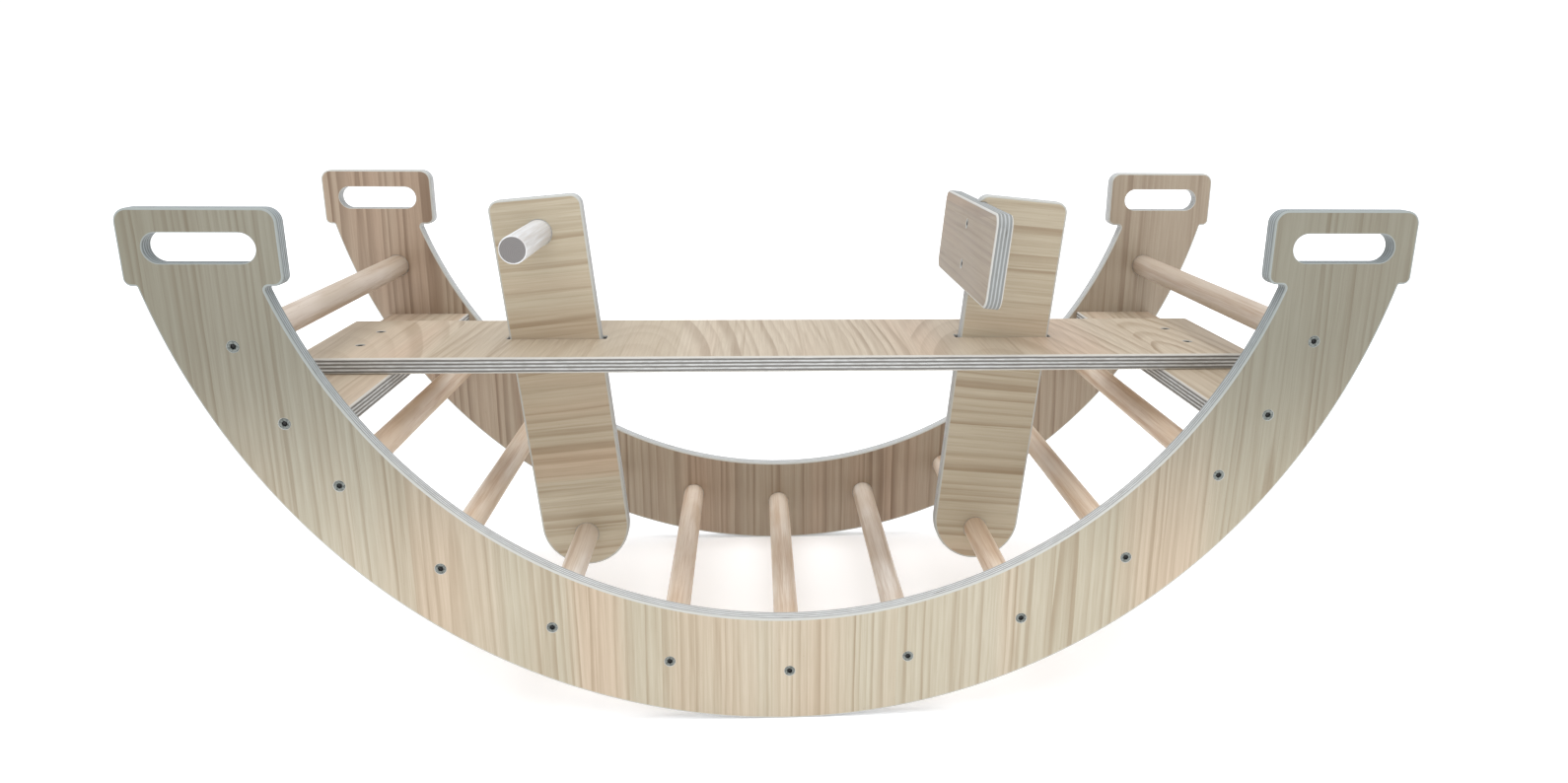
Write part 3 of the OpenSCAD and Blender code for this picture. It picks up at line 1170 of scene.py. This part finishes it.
@dataclass
class SidePanels:
    """The two curved side panels with their handle heads, hand slots and rung sockets."""

    length: float = 1155.7 * MM
    height: float = 508.0 * MM
    rocker_radius: float = 585.3 * MM
    inner_radius: float = 486.5 * MM
    inner_centre: float = 597.1 * MM
    head_width: float = 136.0 * MM
    head_height: float = 67.5 * MM
    slot_length: float = 95.6 * MM
    slot_height: float = 26.6 * MM
    slot_drop: float = 34.3 * MM
    ease: float = 1.9 * MM
    slot_ease: float = 0.7 * MM
    socket_depth: float = 6.0 * MM
    socket_radius: float = 13.6 * MM
    arc_steps: int = 150
    front_shift: float = 0.031
    rear_shift: float = 1.3

    def arc_run(self, radius: float, centre: float, edge: float, margin: float, forward: bool,
                ) -> list[tuple[float, float, float]]:
        """Samples one of the two long arcs between the heads.

        Args:
            radius: the arc's radius.
            centre: height of its centre.
            edge: height at which the heads start.
            margin: bare length kept beside each head for its fillet.
            forward: whether it runs towards +X.

        Returns:
            Its points as sharp corners.
        """
        reach = math.acos((centre - edge) / radius) - margin / radius
        points = arc((0.0, centre), radius, -math.pi / 2 - reach, -math.pi / 2 + reach, self.arc_steps)
        return [(x, z, 0.0) for x, z in (points if forward else points[::-1])]

    def outline(self) -> np.ndarray:
        """Returns the band and its two heads, anticlockwise seen from the face."""
        edge = self.height - self.head_height
        tip = self.length / 2
        outer = math.sqrt(self.rocker_radius ** 2 - (self.rocker_radius - edge) ** 2)
        inner = math.sqrt(self.inner_radius ** 2 - (self.inner_centre - edge) ** 2)
        inside = tip - self.head_width
        right = [(outer, edge, 1.6 * MM), (tip, edge, 7.0 * MM), (tip, self.height, 12.5 * MM),
                 (inside, self.height, 12.5 * MM), (inside, edge, 9.0 * MM), (inner, edge, 3.5 * MM)]
        left = [(-x, z, radius) for x, z, radius in reversed(right)]
        return eased_outline(self.arc_run(self.rocker_radius, self.rocker_radius, edge, 4.0 * MM, True) + right
                             + self.arc_run(self.inner_radius, self.inner_centre, edge, 7.0 * MM, False) + left)

    def hand_slot(self, side: Side) -> Contour:
        """Returns the eased hand slot of one head."""
        middle = (side.value * (self.length - self.head_width) / 2, self.height - self.slot_drop)
        half = (self.slot_length - self.slot_height) / 2
        radius = self.slot_height / 2
        points = (arc((middle[0] - half, middle[1]), radius, -math.pi / 2, -3 * math.pi / 2, 20)
                  + arc((middle[0] + half, middle[1]), radius, math.pi / 2, -math.pi / 2, 20))
        return Contour(np.array(points), eased_profile(PLY, self.slot_ease, 6))

    def build(self, side: Side, finishes: Finishes) -> Object:
        """Builds one panel.

        Args:
            side: LOW for the front panel, HIGH for the rear one.
            finishes: the materials.

        Returns:
            The panel.
        """
        front = side is Side.LOW
        placing = Placing(ACROSS * side.value * HALF_WIDTH, ALONG * -side.value, UP)
        contours = [Contour(self.outline(), eased_profile(PLY, self.ease)), self.hand_slot(Side.LOW),
                    self.hand_slot(Side.HIGH)]
        floor = PLY - self.socket_depth
        socket = [(PILOT, floor), (self.socket_radius, floor), (self.socket_radius, PLY - 0.6 * MM),
                  (self.socket_radius + 0.6 * MM, PLY)]
        contours += [bore(place, HEAD_COUNTERSINK + socket) for place in CIRCLE.rungs()]
        contours += [bore(place, SCREW_HOLE) for place in CIRCLE.ledges()]
        panel = Board(f"side_panel_{'front' if front else 'rear'}", placing, PLY, contours, Grain.ALONG_T,
                      shift=(0.0, self.front_shift if front else self.rear_shift))
        if front:
            return panel.build(finishes.front_veneer, finishes.front_edge)
        return panel.build(finishes.rear_veneer, finishes.panel_edge)


@dataclass
class Rungs:
    """The eleven dowels that tie the side panels together."""

    radius: float = 13.5 * MM
    half_length: float = 243.0 * MM
    ease: float = 1.0 * MM
    # Wood 3, on the two top rungs, is a darker copy of the beech: painted shade.
    woods: tuple[int, ...] = (3, 1, 0, 2, 1, 0, 2, 1, 0, 1, 3)

    def build(self, tree: NodeTree, finishes: Finishes) -> list[Object]:
        """Turns every rung, left to right.

        Args:
            tree: the turned rod tree.
            finishes: the materials.

        Returns:
            The rungs.
        """
        made = []
        for order, (x, z) in enumerate(CIRCLE.rungs()):
            wood = finishes.rung_wood[self.woods[order]]
            values = {"Start": (x, -self.half_length, z), "End": (x, self.half_length, z), "Radius": self.radius,
                      "Ease": self.ease, "Steps": 4, "Sides": 64, "Wood": wood, "End Wood": wood}
            made.append(grow(f"rung_{order + 1}", tree, values, bpy.data.meshes.new("rod")))
        return made


@dataclass
class Seat:
    """The seat board and the two ledges that carry it."""

    length: float = 1016.0 * MM
    width: float = 204.0 * MM
    corner: float = 5.0 * MM
    ease: float = 2.4 * MM
    slot_length: float = 110.1 * MM
    slot_width: float = 18.0 * MM
    slot_x: float = 252.83 * MM
    slot_ease: float = 0.6 * MM
    slot_corner: float = 1.5 * MM
    screw_gap: float = 72.0 * MM
    ledge_width: float = 100.0 * MM
    ledge_ease: float = 1.6 * MM

    @property
    def top(self) -> float:
        """Height of the seat's top face."""
        return CIRCLE.ledges()[0][1] + 1.5 * PLY

    def screws(self, side: Side) -> list[Point]:
        """Returns the (x, y) of the screws at one end."""
        x = CIRCLE.ledges()[1][0] * side.value
        return [(x, -self.screw_gap / 2), (x, self.screw_gap / 2)]

    def build_board(self, finishes: Finishes) -> Object:
        """Builds the seat board with its slots for the posts and its screw holes."""
        placing = Placing(UP * self.top, ALONG, ACROSS)
        contours = [Contour(rectangle(self.length, self.width, self.corner), eased_profile(PLY, self.ease))]
        for side in Side:
            slot = rectangle(self.slot_length, self.slot_width, self.slot_corner)[::-1]
            slot = slot + [side.value * self.slot_x, 0.0]
            contours.append(Contour(slot, eased_profile(PLY, self.slot_ease, 3)))
            contours += [bore(place, SCREW_HOLE) for place in self.screws(side)]
        board = Board("seat_board", placing, PLY, contours, Grain.ALONG_T, shift=(0.3, 0.0))
        return board.build(finishes.seat_veneer, finishes.seat_edge)

    def build_ledge(self, side: Side, finishes: Finishes) -> Object:
        """Builds the ledge under one end of the seat."""
        x, z = CIRCLE.ledges()[1]
        placing = Placing(Vector((x * side.value, 0.0, z + PLY / 2)), ALONG, ACROSS)
        outline = rectangle(self.ledge_width, 2 * (HALF_WIDTH - PLY), 0.0)
        name = "ledge_left" if side is Side.LOW else "ledge_right"
        board = Board(name, placing, PLY, [Contour(outline, eased_profile(PLY, self.ledge_ease, 4))], Grain.ALONG_T,
                      shift=(0.11 * side.value, 2.0 + side.value))
        return board.build(finishes.seat_veneer, finishes.seat_edge)


@dataclass
class Post:
    """A post that stands on a rung and leans away from the middle."""

    name: str
    side: Side
    lean: float = 5.4
    carrier: int = 2
    width: float = 101.0 * MM
    rise: float = 391.5 * MM
    foot_rise: float = 11.5 * MM
    corner: float = 12.0 * MM
    ease: float = 2.3 * MM
    crisp: float = 0.15
    rung_bore: float = 13.6 * MM
    bores: list[tuple[Point, float]] = field(default_factory=list)
    housing: tuple[float, float, float] | None = None

    def foot(self) -> Point:
        """Returns (x, z) of the rung that the post stands on."""
        return CIRCLE.at(self.side.value * self.carrier * CIRCLE.step)

    def placing(self, y: float = -PLY / 2) -> Placing:
        """Returns where the post's front face lies."""
        turn = math.radians(self.lean) * self.side.value
        x, z = self.foot()
        return Placing(Vector((x, y, z)), Vector((math.cos(turn), 0.0, -math.sin(turn))),
                       Vector((math.sin(turn), 0.0, math.cos(turn))))

    def outline(self) -> Contour:
        """Returns the post's edge, with the plate's housing if it has one."""
        half = self.width / 2
        points = arc((0.0, self.foot_rise), half, -math.pi, 0.0, 40)
        points += arc((half - self.corner, self.rise - self.corner), self.corner, 0.0, math.pi / 2, 10)
        shares = [1.0] * len(points)
        if not self.housing:
            points += arc((self.corner - half, self.rise - self.corner), self.corner, math.pi / 2, math.pi, 10)
            return Contour(np.array(points), eased_profile(PLY, self.ease))
        deep, low, high = self.housing
        mouth = math.pi - math.asin((high - self.rise + self.corner) / self.corner)
        shoulder = arc((self.corner - half, self.rise - self.corner), self.corner, math.pi / 2, mouth, 10)
        shares += [min(1.0, max(self.crisp, 0.8 * (t - high) / self.ease)) for _, t in shoulder]
        points += shoulder + [(deep - half, high), (deep - half, low), (-half, low), (-half, low - 2.0 * self.ease)]
        shares += [self.crisp, self.crisp, self.crisp, 1.0]
        return Contour(np.array(points), eased_profile(PLY, self.ease), np.array(shares))

    def build(self, finishes: Finishes) -> Object:
        """Builds the post with its bores."""
        contours = [self.outline()]
        for centre, radius in [((0.0, 0.0), self.rung_bore), *self.bores]:
            eased = [(radius + out, depth) for out, depth in
                     ((0.7 * MM, 0.0), (0.2 * MM, 0.25 * MM), (0.0, 0.8 * MM), (0.0, PLY - 0.8 * MM),
                      (0.2 * MM, PLY - 0.25 * MM), (0.7 * MM, PLY))]
            contours.append(bore(centre, eased, 56))
        board = Board(self.name, self.placing(), PLY, contours, Grain.ALONG_S,
                      shift=(0.2, 0.52 if self.side is Side.LOW else 1.9))
        return board.build(finishes.post_veneer, finishes.panel_edge)


@dataclass
class HandleBar:
    """The loose-turned bar through the top of the left post."""

    height: float = 353.5 * MM
    radius: float = 14.0 * MM
    play: float = 0.1 * MM
    half_length: float = 150.0 * MM
    ease: float = 1.3 * MM

    def build(self, post: Post, tree: NodeTree, finishes: Finishes) -> Object:
        """Turns the bar.

        Args:
            post: the post that holds it.
            tree: the turned rod tree.
            finishes: the materials.

        Returns:
            The bar.
        """
        centre = post.placing(0.0).world(0.0, self.height)
        across = Vector((0.0, self.half_length, 0.0))
        values = {"Start": tuple(centre - across), "End": tuple(centre + across), "Radius": self.radius,
                  "Ease": self.ease, "Steps": 6, "Sides": 72, "Wood": finishes.bar_wood, "End Wood": finishes.bar_end}
        return grow("handle_bar", tree, values, bpy.data.meshes.new("rod"))


@dataclass
class Backrest:
    """The plate let into the right post."""

    width: float = 306.0 * MM
    height: float = 96.0 * MM
    middle: float = 335.5 * MM
    face: float = 59.0 * MM
    corner: float = 14.0 * MM
    ease: float = 2.3 * MM
    screw_gap: float = 45.0 * MM

    def placing(self, post: Post) -> Placing:
        """Returns where the plate's face lies on its post."""
        base = post.placing(0.0)
        return Placing(base.world(-self.face, self.middle), -ACROSS, base.t_axis)

    def screws(self) -> list[Point]:
        """Returns the places of the plate's two screws on its face."""
        return [(0.0, -self.screw_gap / 2), (0.0, self.screw_gap / 2)]

    def build(self, post: Post, finishes: Finishes) -> Object:
        """Builds the plate with its screw holes."""
        contours = [Contour(rectangle(self.width, self.height, self.corner), eased_profile(PLY, self.ease))]
        contours += [bore(place, SCREW_HOLE) for place in self.screws()]
        board = Board("backrest_plate", self.placing(post), PLY, contours, Grain.ALONG_S, shift=(0.7, 0.21))
        return board.build(finishes.plate_veneer, finishes.plate_edge)


@dataclass
class Fasteners:
    """The flat-head screws with hexagonal recesses."""

    head: float = 5.0 * MM
    neck: float = 3.5 * MM
    core: float = 2.5 * MM
    sink: float = 0.4 * MM
    recess: float = 2.6 * MM
    recess_depth: float = 2.4 * MM
    sides: int = 24
    tip: float = 4.0 * MM
    rung_length: float = 50.0 * MM
    rung_neck: float = 11.0 * MM
    seat_length: float = 30.0 * MM
    plate_length: float = 42.0 * MM

    def screw(self, length: float, neck_length: float) -> Object:
        """Makes one screw with its head's top just under the origin and its tip down Z.

        Args:
            length: its length.
            neck_length: depth at which the neck ends.

        Returns:
            The pattern object, to be taken away again.
        """
        turns = np.arange(self.sides) * FULL_TURN / self.sides
        within = (turns + FULL_TURN / 12) % (FULL_TURN / 6) - FULL_TURN / 12
        six = math.cos(math.pi / 6) / np.cos(np.abs(within) - math.pi / 6)
        six = six / six.max()
        bottom = -self.sink - self.recess_depth
        # Each ring is (radius, height, painted shade): full painted shade down in the hex recess, part of it at the
        # recess's lip, none elsewhere.
        rings = [(six * self.recess * 0.55, bottom - 0.5 * MM, 1.0), (six * self.recess * 0.98, bottom, 1.0),
                 (six * self.recess, -self.sink - 0.3 * MM, 1.0),
                 (six * self.recess + 0.25 * MM, -self.sink, 0.35), (self.head - 0.35 * MM, -self.sink, 0.0),
                 (self.head - 0.1 * MM, -self.sink - 0.1 * MM, 0.0), (self.head, -self.sink - 0.35 * MM, 0.0),
                 (self.head, -self.sink - 0.6 * MM, 0.0), (self.neck, -self.sink - 3.1 * MM, 0.0),
                 (self.neck, -neck_length, 0.0), (self.core, -neck_length, 0.0), (self.core, self.tip - length, 0.0)]
        points = [np.array([[0.0, 0.0, bottom - 0.9 * MM]])]
        for radius, height, _ in rings:
            wide = np.broadcast_to(radius, self.sides)
            points.append(np.stack([wide * np.cos(turns), wide * np.sin(turns), np.full(self.sides, height)], axis=1))
        points.append(np.array([[0.0, 0.0, -length]]))
        faces: list[tuple[int, ...]] = []
        last = 1 + len(rings) * self.sides
        for place in range(self.sides):
            after = (place + 1) % self.sides
            faces.append((0, 1 + place, 1 + after))
            for level in range(len(rings) - 1):
                low, high = 1 + level * self.sides, 1 + (level + 1) * self.sides
                faces.append((low + place, high + place, high + after, low + after))
            faces.append((last - self.sides + place, last, last - self.sides + after))
        mesh = bpy.data.meshes.new("screw.pattern")
        mesh.from_pydata(np.concatenate(points).tolist(), [], faces)
        pit = mesh.attributes.new(RECESS_SHADE, "FLOAT", "POINT")
        shades = [1.0] + [shade for _, _, shade in rings for _ in range(self.sides)] + [0.0]
        pit.data.foreach_set("value", shades)
        return place_piece(mesh)

    def build(self, name: str, tree: NodeTree, places: list[Vector], aim: Vector, length: float,
              neck_length: float, zinc: Material, seed: int) -> Object:
        """Drives one set of screws.

        Args:
            name: the set's name.
            tree: the screw set tree.
            places: where each screw meets its face.
            aim: the direction that the heads look in.
            length: the screws' length.
            neck_length: the depth of wood that they clamp.
            zinc: their finish.
            seed: fixes how each is turned.

        Returns:
            The set as one piece.
        """
        pattern = self.screw(length, neck_length)
        seeds = bpy.data.meshes.new("places")
        seeds.from_pydata([tuple(place) for place in places], [], [])
        aims = seeds.attributes.new("aim", "FLOAT_VECTOR", "POINT")
        aims.data.foreach_set("vector", [value for _ in places for value in aim])
        piece = grow(name, tree, {"Screw": pattern, "Seed": seed, "Finish": zinc}, seeds)
        bpy.data.objects.remove(pattern)
        return piece


@dataclass
class Studio:
    """The pale floor, the soft light and the camera."""

    camera_place: Vector = field(default_factory=lambda: Vector((-0.032262, -1.267869, 0.606561)))
    turn: float = 0.065
    dip: float = 0.302
    roll: float = 0.009
    lens: float = 25.97
    shift: tuple[float, float] = (-0.0264, 0.0341)
    sky: float = 0.82
    sun: float = 2.0
    sun_spread: float = 70.0
    floor_glow: float = 0.22
    fill: float = 6.0
    fill_size: float = 1.4
    backdrop: float = 1.1

    def build_floor(self) -> None:
        """Lays the wide pale floor."""
        reach = 60.0
        mesh = bpy.data.meshes.new("floor")
        corners = [(x * reach, y * reach, 0.0) for x, y in ((-1, -1), (1, -1), (1, 1), (-1, 1))]
        mesh.from_pydata(corners, [], [(0, 1, 2, 3)])
        paint = Paint("pale floor")
        cloud = paint.noise(paint.world(), scale=3.0, detail=3.0)
        mesh.materials.append(paint.finish(
            Base_Color=paint.mix(cloud, srgb(252, 252, 252), srgb(249, 249, 250)), Roughness=0.9,
            Emission_Color=(1.0, 1.0, 1.0), Emission_Strength=self.floor_glow))
        place_piece(mesh)

    def build_light(self) -> None:
        """Sets the even sky and the broad overhead light."""
        world = bpy.data.worlds.new("studio")
        world.use_nodes = True
        wires = Wires(world.node_tree)
        path = wires.signal("ShaderNodeLightPath", output="Is Camera Ray")
        strength = wires.remap(path, 0.0, 1.0, self.sky, self.backdrop, smooth=False)
        glow = wires.signal("ShaderNodeBackground", {"Color": srgb(252, 253, 255), "Strength": strength})
        wires.node("ShaderNodeOutputWorld", {"Surface": glow})
        bpy.context.scene.world = world
        light = bpy.data.lights.new("overhead", "SUN")
        light.energy = self.sun
        light.angle = math.radians(self.sun_spread)
        light.color = (0.96, 0.98, 1.0)
        place_piece(light).rotation_euler = (math.radians(8.0), math.radians(-4.0), 0.0)
        panel = bpy.data.lights.new("front fill", "AREA")
        panel.energy = self.fill
        panel.size = self.fill_size
        panel.color = (1.0, 0.985, 0.96)
        soft = place_piece(panel)
        soft.location = (0.55, -2.2, 0.2)
        soft.rotation_euler = Vector((-0.45, 2.2, -0.02)).to_track_quat("-Z", "Y").to_euler()

    def build_camera(self) -> None:
        """Sets the camera and the plain display transform."""
        forward = Vector((math.sin(self.turn) * math.cos(self.dip), math.cos(self.turn) * math.cos(self.dip),
                          -math.sin(self.dip)))
        level = Vector((math.cos(self.turn), -math.sin(self.turn), 0.0))
        upright = level.cross(forward)
        right = level * math.cos(self.roll) + upright * math.sin(self.roll)
        up = upright * math.cos(self.roll) - level * math.sin(self.roll)
        data = bpy.data.cameras.new("camera")
        data.sensor_fit = "HORIZONTAL"
        data.sensor_width = 36.0
        data.lens = self.lens
        data.shift_x, data.shift_y = self.shift
        camera = place_piece(data)
        turned = Matrix((right, up, -forward)).transposed().to_4x4()
        camera.matrix_world = Matrix.Translation(self.camera_place) @ turned
        bpy.context.scene.camera = camera
        bpy.context.scene.view_settings.view_transform = "Standard"


def make_finishes() -> Finishes:
    """Mixes every finish of the rocker.

    Returns:
        The finishes.
    """
    groups = TimberGroups(pine_figure(), ply_layers(), turned_grain(), handling())
    glue, gap = srgb(116, 110, 102), srgb(78, 70, 62)
    front = Veneer("pine front", pale=srgb(200, 193, 175), dull=srgb(175, 166, 144), late=srgb(136, 114, 84),
                   blush=srgb(200, 178, 155), seed=3.0, leaf_width=0.155, ring_gap=0.0085, arch=0.02, drift=0.012,
                   late_share=0.6, blush_share=0.75, streak_share=0.4, shade=(0.49, 0.515, 0.515),
                   shade_from=0.12, shade_to=0.40, shade_face=-HALF_WIDTH)
    rear = Veneer("pine rear", pale=srgb(188, 176, 156), dull=srgb(158, 143, 124), late=srgb(110, 84, 60),
                  blush=srgb(172, 144, 122), seed=7.0, leaf_width=0.17, ring_gap=0.012, arch=0.03, drift=0.014,
                  late_share=0.8, blush_share=0.65, streak_share=0.32)
    seat = Veneer("pine seat", pale=srgb(202, 189, 170), dull=srgb(178, 164, 142), late=srgb(128, 104, 76),
                  blush=srgb(195, 169, 147), seed=12.0, leaf_width=0.26, ring_gap=0.013, arch=0.2, drift=0.022,
                  late_share=0.7, streak_share=0.35)
    post = Veneer("pine post", pale=srgb(206, 198, 178), dull=srgb(182, 170, 146), late=srgb(134, 108, 76),
                  blush=srgb(199, 168, 140), seed=15.0, leaf_width=0.24, ring_gap=0.0145, arch=0.08, drift=0.018,
                  late_share=0.68, streak_share=0.34)
    plate = Veneer("pine plate", pale=srgb(168, 154, 135), dull=srgb(150, 135, 115), late=srgb(110, 90, 70),
                   blush=srgb(164, 135, 110), seed=21.0, leaf_width=0.2, ring_gap=0.009, arch=0.05, drift=0.01,
                   streak_share=0.6)

    def sawn(name: str, face: Colour, light: Colour, cross: Colour, seed: float,
             shade: Colour | None = None) -> Material:
        """Returns a ply edge with its own outer ply, light plies and cross plies."""
        return SawnPly(name, face, light, cross, glue, gap, PLY, seed=seed, shade=shade).build(groups)

    # The fourth beech is a darker copy of the same wood, painted shade for the two top rungs.
    rungs = [Dowel(f"beech {label}", middle, pale, dark, seed).build(groups) for label, middle, pale, dark, seed in (
        ("fair", srgb(217, 199, 179), srgb(232, 220, 205), srgb(188, 156, 124), 1.0),
        ("rosy", srgb(214, 194, 172), srgb(230, 215, 198), srgb(182, 148, 116), 31.0),
        ("grey", srgb(212, 198, 182), srgb(230, 222, 212), srgb(182, 159, 137), 61.0),
        ("umber", srgb(184, 169, 152), srgb(200, 187, 174), srgb(156, 131, 108), 46.0))]
    bar = Dowel("beech bar", srgb(214, 215, 216), srgb(228, 231, 234), srgb(184, 176, 168), 90.0).build(groups)
    end = EndGrain("bar end", srgb(130, 127, 126), srgb(104, 99, 96), (-0.2587, 0.4550)).build()
    # The zinc's third colour is the painted shade of the drive recess.
    zinc = ZincPlate("zinc", srgb(136, 140, 136), srgb(92, 96, 92), srgb(30, 31, 30)).build()
    plies = (srgb(186, 186, 180), srgb(214, 216, 216), srgb(152, 154, 153), 2.0)
    # The front panel's edge gets painted shade that darkens it with height.
    front_edge = sawn("front panel edge", *plies, shade=(0.6, 0.65, 0.67))
    panel_edge = sawn("panel edge", *plies)
    seat_edge = sawn("seat edge", srgb(190, 186, 178), srgb(204, 205, 204), srgb(104, 102, 98), 5.0)
    plate_edge = sawn("plate edge", srgb(196, 195, 190), srgb(170, 174, 174), srgb(126, 129, 128), 8.0)
    return Finishes(front.build(groups), rear.build(groups), front_edge, panel_edge, seat.build(groups), seat_edge,
                    post.build(groups), plate_edge, plate.build(groups), rungs, bar, end, zinc)


def build_screws(seat: Seat, backrest: Backrest, right_post: Post, zinc: Material) -> None:
    """Drives and declares every set of screws.

    Args:
        seat: gives the seat screws' places.
        backrest: gives the plate screws' places.
        right_post: the post that carries the plate.
        zinc: the screws' finish.
    """
    fasteners = Fasteners()
    tree = screw_tree()
    rung, neck = fasteners.rung_length, fasteners.rung_neck
    sets: list[tuple[str, list[Vector], Vector, float, float, int]] = []
    for side, word in ((Side.LOW, "front"), (Side.HIGH, "rear")):
        y = side.value * HALF_WIDTH
        aim = ACROSS * side.value
        for kind, spots, depth, seed in (("rung", CIRCLE.rungs(), neck, 3), ("ledge", CIRCLE.ledges(), PLY, 5)):
            places = [Vector((x, y, z)) for x, z in spots]
            sets.append((f"{kind}_screws_{word}", places, aim, rung, depth, seed + side.value))
    for side, word in ((Side.LOW, "left"), (Side.HIGH, "right")):
        places = [Vector((x, y, seat.top)) for x, y in seat.screws(side)]
        sets.append((f"seat_screws_{word}", places, UP, fasteners.seat_length, PLY, 8 + side.value))
    face = backrest.placing(right_post)
    places = [face.world(s, t) for s, t in backrest.screws()]
    sets.append(("backrest_screws", places, face.out, fasteners.plate_length, PLY, 13))
    for name, places, aim, length, depth, seed in sets:
        declare(fasteners.build(name, tree, places, aim, length, depth, zinc, seed), name)


def main() -> None:
    """Builds the rocker, part by part, and then the studio round it."""
    logging.basicConfig(level=logging.INFO, format="%(name)s: %(message)s")
    studio = Studio()
    studio.build_camera()
    finishes = make_finishes()
    rod = rod_tree()
    panels, seat, bar, backrest = SidePanels(), Seat(), HandleBar(), Backrest()
    left_post = Post("handle_post", Side.LOW, bores=[((0.0, bar.height), bar.radius + bar.play)])
    right_post = Post("backrest_post", Side.HIGH, housing=(8.5 * MM, 287.4 * MM, 383.6 * MM))
    declare(panels.build(Side.LOW, finishes), "side_panel_front")
    declare(panels.build(Side.HIGH, finishes), "side_panel_rear")
    for order, rung in enumerate(Rungs().build(rod, finishes), start=1):
        declare(rung, f"rung_{order}")
    declare(seat.build_board(finishes), "seat_board")
    declare(seat.build_ledge(Side.LOW, finishes), "ledge_left")
    declare(seat.build_ledge(Side.HIGH, finishes), "ledge_right")
    declare(left_post.build(finishes), "handle_post")
    declare(bar.build(left_post, rod, finishes), "handle_bar")
    declare(right_post.build(finishes), "backrest_post")
    declare(backrest.build(right_post, finishes), "backrest_plate")
    build_screws(seat, backrest, right_post, finishes.zinc)
    studio.build_floor()
    studio.build_light()


if __name__ == "__main__":
    main()
